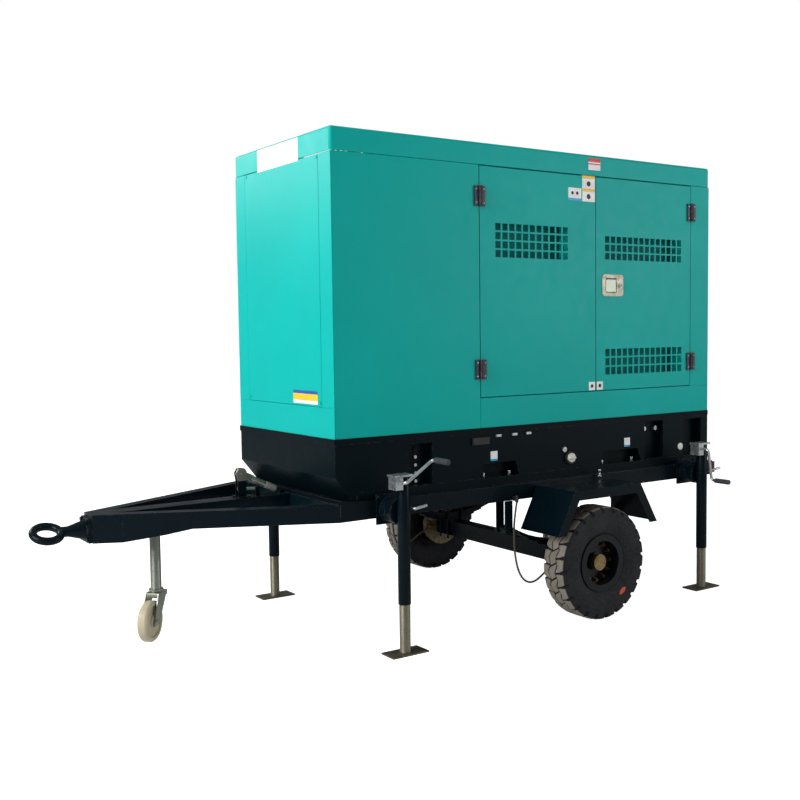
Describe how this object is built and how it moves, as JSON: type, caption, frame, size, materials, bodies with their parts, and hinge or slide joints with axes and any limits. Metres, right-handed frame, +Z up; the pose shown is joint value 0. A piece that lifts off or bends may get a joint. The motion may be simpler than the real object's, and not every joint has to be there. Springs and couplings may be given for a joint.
{
  "type": "towable diesel generator",
  "caption": "Canopied diesel generator on a single-axle trailer with A-frame drawbar, tow eye, swivelling corner jacks, nose caster and hinged service doors.",
  "frame": {"origin": "on the ground, under the middle of the overall box", "axes": "+Z up, -X towards the tow eye, +X towards the rear lamps, -Y the near side with the fuel filler"},
  "size_m": [3.88, 1.728, 2.449],
  "materials": {
    "canopy_teal": "satin powder coat",
    "base_black": "satin powder coat",
    "chassis_black": "gloss enamel",
    "zinc": "satin zinc plate",
    "yellow_zinc": "yellow zinc plate",
    "tank_black": "moulded",
    "lamp_red": "gloss",
    "hinge_charcoal": "satin",
    "engine_iron": "painted casting",
    "alternator_grey": "satin",
    "radiator_alloy": "matt",
    "muffler_steel": "heat-stained",
    "battery_case": "moulded",
    "cabinet_grey": "fine texture",
    "hose_rubber": "matt",
    "fan_plastic": "moulded",
    "stainless": "brushed",
    "stop_red": "gloss",
    "cap_white": "moulded",
    "tyre": "dusty",
    "rim_navy": "gloss",
    "nylon_cream": "satin"
  },
  "bodies": {
    "root": {"chassis_frame": "chassis_black", "drawbar": "chassis_black", "tow_eye": "chassis_black", "mudguards": "chassis_black", "axle_beam": "chassis_black", "leaf_springs": "chassis_black", "brake_units": "yellow_zinc", "jack_mounts": "chassis_black", "drawbar_fittings": "zinc", "skid_base": "base_black", "fuel_tank": "tank_black", "fuel_port": "zinc", "rear_lamps": "lamp_red", "canopy_side_walls": "canopy_teal", "canopy_end_walls": "canopy_teal", "front_access_panel": "canopy_teal", "canopy_roof": "canopy_teal", "hinge_leaves": "hinge_charcoal", "engine_block": "engine_iron", "alternator": "alternator_grey", "radiator": "radiator_alloy", "muffler": "muffler_steel", "battery": "battery_case", "control_cabinet": "cabinet_grey", "near_brake_hose": "hose_rubber", "far_brake_hose": "hose_rubber"},
    "fan": {"fan": "fan_plastic"},
    "hand_brake_lever": {"hand_brake_lever": "zinc"},
    "near_front_door": {"near_front_door": "canopy_teal"},
    "near_rear_door": {"near_rear_door": "canopy_teal"},
    "near_latch_paddle": {"near_latch_paddle": "stainless"},
    "far_front_door": {"far_front_door": "canopy_teal"},
    "far_rear_door": {"far_rear_door": "canopy_teal"},
    "far_latch_paddle": {"far_latch_paddle": "stainless"},
    "control_door": {"control_door": "canopy_teal"},
    "emergency_stop": {"emergency_stop": "stop_red"},
    "fuel_cap": {"fuel_cap": "cap_white"},
    "near_front_jack_tube": {"near_front_jack_tube": "chassis_black"},
    "near_front_jack_leg": {"near_front_jack_leg": "zinc"},
    "near_front_jack_crank": {"near_front_jack_crank": "zinc"},
    "near_front_jack_pin": {"near_front_jack_pin": "zinc"},
    "near_rear_jack_tube": {"near_rear_jack_tube": "chassis_black"},
    "near_rear_jack_leg": {"near_rear_jack_leg": "zinc"},
    "near_rear_jack_crank": {"near_rear_jack_crank": "zinc"},
    "near_rear_jack_pin": {"near_rear_jack_pin": "zinc"},
    "near_wheel": {"near_tyre": "tyre", "near_rim": "rim_navy"},
    "far_front_jack_tube": {"far_front_jack_tube": "chassis_black"},
    "far_front_jack_leg": {"far_front_jack_leg": "zinc"},
    "far_front_jack_crank": {"far_front_jack_crank": "zinc"},
    "far_front_jack_pin": {"far_front_jack_pin": "zinc"},
    "far_rear_jack_tube": {"far_rear_jack_tube": "chassis_black"},
    "far_rear_jack_leg": {"far_rear_jack_leg": "zinc"},
    "far_rear_jack_crank": {"far_rear_jack_crank": "zinc"},
    "far_rear_jack_pin": {"far_rear_jack_pin": "zinc"},
    "far_wheel": {"far_tyre": "tyre", "far_rim": "rim_navy"},
    "caster_leg": {"caster_leg": "zinc"},
    "caster_fork": {"caster_fork": "zinc"},
    "caster_wheel": {"caster_wheel": "nylon_cream"}
  },
  "joints": [
    {"name": "fan_spin", "type": "hinge", "parent": "root", "child": "fan", "pos_m": [-0.055, 0, 1.5], "axis": [1, 0, 0], "continuous": true},
    {"name": "hand_brake_pull", "type": "hinge", "parent": "root", "child": "hand_brake_lever", "pos_m": [-0.925, 0, 0.826], "axis": [0, -1, 0], "range_deg": [0, 75]},
    {"name": "near_front_door_swing", "type": "hinge", "parent": "root", "child": "near_front_door", "pos_m": [0.181, -0.514, 1.746], "axis": [0, 0, -1], "range_deg": [0, 120]},
    {"name": "near_rear_door_swing", "type": "hinge", "parent": "root", "child": "near_rear_door", "pos_m": [1.761, -0.514, 1.746], "axis": [0, 0, 1], "range_deg": [0, 120]},
    {"name": "near_latch_pull", "type": "hinge", "parent": "near_rear_door", "child": "near_latch_paddle", "pos_m": [1.118, -0.5005, 1.781], "axis": [-1, 0, 0], "range_deg": [0, 40], "stiffness_Nm_per_rad": 0.4},
    {"name": "far_front_door_swing", "type": "hinge", "parent": "root", "child": "far_front_door", "pos_m": [0.181, 0.514, 1.746], "axis": [0, 0, 1], "range_deg": [0, 120]},
    {"name": "far_rear_door_swing", "type": "hinge", "parent": "root", "child": "far_rear_door", "pos_m": [1.761, 0.514, 1.746], "axis": [0, 0, -1], "range_deg": [0, 120]},
    {"name": "far_latch_pull", "type": "hinge", "parent": "far_rear_door", "child": "far_latch_paddle", "pos_m": [1.118, 0.5005, 1.781], "axis": [1, 0, 0], "range_deg": [0, 40], "stiffness_Nm_per_rad": 0.4},
    {"name": "control_door_swing", "type": "hinge", "parent": "root", "child": "control_door", "pos_m": [1.927, 0.303, 1.84], "axis": [0, 0, 1], "range_deg": [0, 110]},
    {"name": "emergency_stop_press", "type": "slide", "parent": "root", "child": "emergency_stop", "axis": [-1, 0, 0], "range_m": [0, 0.006], "stiffness_N_per_m": 800},
    {"name": "fuel_cap_turn", "type": "hinge", "parent": "root", "child": "fuel_cap", "pos_m": [0.792, -0.512, 0.815], "axis": [0, 1, 0], "range_deg": [0, 90]},
    {"name": "near_front_jack_swivel", "type": "hinge", "parent": "root", "child": "near_front_jack_tube", "pos_m": [-0.4124, -0.61, 0.668], "axis": [0, -1, 0], "range_deg": [0, 90]},
    {"name": "near_front_jack_crank_turn", "type": "hinge", "parent": "near_front_jack_tube", "child": "near_front_jack_crank", "pos_m": [-0.4494, -0.74, 0.815], "axis": [0, -1, 0], "range_deg": [-8910, 7110]},
    {"name": "near_front_jack_extend", "type": "slide", "parent": "near_front_jack_tube", "child": "near_front_jack_leg", "axis": [0, 0, -1], "range_m": [-0.15, 0.12]},
    {"name": "near_front_jack_pin_push", "type": "slide", "parent": "near_front_jack_tube", "child": "near_front_jack_pin", "axis": [0, 1, 0], "range_m": [0, 0.02]},
    {"name": "near_rear_jack_swivel", "type": "hinge", "parent": "root", "child": "near_rear_jack_tube", "pos_m": [1.6745, -0.61, 0.668], "axis": [0, -1, 0], "range_deg": [0, 90]},
    {"name": "near_rear_jack_crank_turn", "type": "hinge", "parent": "near_rear_jack_tube", "child": "near_rear_jack_crank", "pos_m": [1.6375, -0.74, 0.815], "axis": [0, -1, 0], "range_deg": [-8910, 7110]},
    {"name": "near_rear_jack_extend", "type": "slide", "parent": "near_rear_jack_tube", "child": "near_rear_jack_leg", "axis": [0, 0, -1], "range_m": [-0.15, 0.12]},
    {"name": "near_rear_jack_pin_push", "type": "slide", "parent": "near_rear_jack_tube", "child": "near_rear_jack_pin", "axis": [0, 1, 0], "range_m": [0, 0.02]},
    {"name": "near_wheel_spin", "type": "hinge", "parent": "root", "child": "near_wheel", "pos_m": [0.74, -0.739, 0.295], "axis": [0, 1, 0], "continuous": true},
    {"name": "far_front_jack_swivel", "type": "hinge", "parent": "root", "child": "far_front_jack_tube", "pos_m": [-0.4124, 0.61, 0.668], "axis": [0, -1, 0], "range_deg": [0, 90]},
    {"name": "far_front_jack_crank_turn", "type": "hinge", "parent": "far_front_jack_tube", "child": "far_front_jack_crank", "pos_m": [-0.4494, 0.74, 0.815], "axis": [0, 1, 0], "range_deg": [-8910, 7110]},
    {"name": "far_front_jack_extend", "type": "slide", "parent": "far_front_jack_tube", "child": "far_front_jack_leg", "axis": [0, 0, -1], "range_m": [-0.15, 0.12]},
    {"name": "far_front_jack_pin_push", "type": "slide", "parent": "far_front_jack_tube", "child": "far_front_jack_pin", "axis": [0, -1, 0], "range_m": [0, 0.02]},
    {"name": "far_rear_jack_swivel", "type": "hinge", "parent": "root", "child": "far_rear_jack_tube", "pos_m": [1.6745, 0.61, 0.668], "axis": [0, -1, 0], "range_deg": [0, 90]},
    {"name": "far_rear_jack_crank_turn", "type": "hinge", "parent": "far_rear_jack_tube", "child": "far_rear_jack_crank", "pos_m": [1.6375, 0.74, 0.815], "axis": [0, 1, 0], "range_deg": [-8910, 7110]},
    {"name": "far_rear_jack_extend", "type": "slide", "parent": "far_rear_jack_tube", "child": "far_rear_jack_leg", "axis": [0, 0, -1], "range_m": [-0.15, 0.12]},
    {"name": "far_rear_jack_pin_push", "type": "slide", "parent": "far_rear_jack_tube", "child": "far_rear_jack_pin", "axis": [0, -1, 0], "range_m": [0, 0.02]},
    {"name": "far_wheel_spin", "type": "hinge", "parent": "root", "child": "far_wheel", "pos_m": [0.74, 0.739, 0.295], "axis": [0, 1, 0], "continuous": true},
    {"name": "caster_lower", "type": "slide", "parent": "root", "child": "caster_leg", "axis": [0, 0, -1], "range_m": [0, 0.085]},
    {"name": "caster_swivel", "type": "hinge", "parent": "caster_leg", "child": "caster_fork", "pos_m": [-1.37, 0, 0.305], "axis": [0, 0, 1], "continuous": true},
    {"name": "caster_wheel_spin", "type": "hinge", "parent": "caster_fork", "child": "caster_wheel", "pos_m": [-1.42349, -0.05257, 0.186], "axis": [-0.7009, 0.7133, 0], "continuous": true}
  ],
  "couplings": [
    {"joint": "near_front_jack_extend", "follows": "near_front_jack_crank_turn", "m_per_rad": 0.00095493},
    {"joint": "near_rear_jack_extend", "follows": "near_rear_jack_crank_turn", "m_per_rad": 0.00095493},
    {"joint": "far_front_jack_extend", "follows": "far_front_jack_crank_turn", "m_per_rad": 0.00095493},
    {"joint": "far_rear_jack_extend", "follows": "far_rear_jack_crank_turn", "m_per_rad": 0.00095493}
  ]
}
